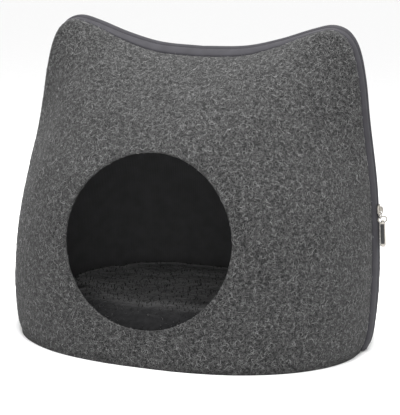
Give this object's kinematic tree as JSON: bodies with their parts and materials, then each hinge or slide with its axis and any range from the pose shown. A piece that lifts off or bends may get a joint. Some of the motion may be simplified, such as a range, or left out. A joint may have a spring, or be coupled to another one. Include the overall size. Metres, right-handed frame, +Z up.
{
  "type": "felt cat cave",
  "caption": "Grey felt cat cave with two ears: two pressed felt halves zipped together over a flat felt floor, a round entrance in front and a plush cushion inside.",
  "frame": {"origin": "middle of the footprint, on the plane that the cave stands on", "axes": "+Z up; +Y towards the closed back, so the round entrance faces -Y; X along the plane of the zip"},
  "size_m": [0.387, 0.3055, 0.321],
  "materials": {
    "felt": "melange polyester felt, matte, with a dark bonded backing",
    "zip_tape": "smooth woven polyester tape",
    "zip_coil": "nylon coil",
    "nickel_plate": "nickel-plated zinc",
    "moulded_insert": "moulded plastic insert of the pull",
    "plush": "short dark plush"
  },
  "bodies": {
    "root": {"front_panel": "felt", "back_panel": "felt", "base_panel": "felt", "zip_tape_front": "zip_tape", "zip_tape_back": "zip_tape", "zip_chain": "zip_coil", "zip_slider": "nickel_plate", "zip_pull_link": "nickel_plate", "zip_pull_frame": "nickel_plate", "zip_pull_insert": "moulded_insert", "cushion": "plush"}
  },
  "joints": []
}
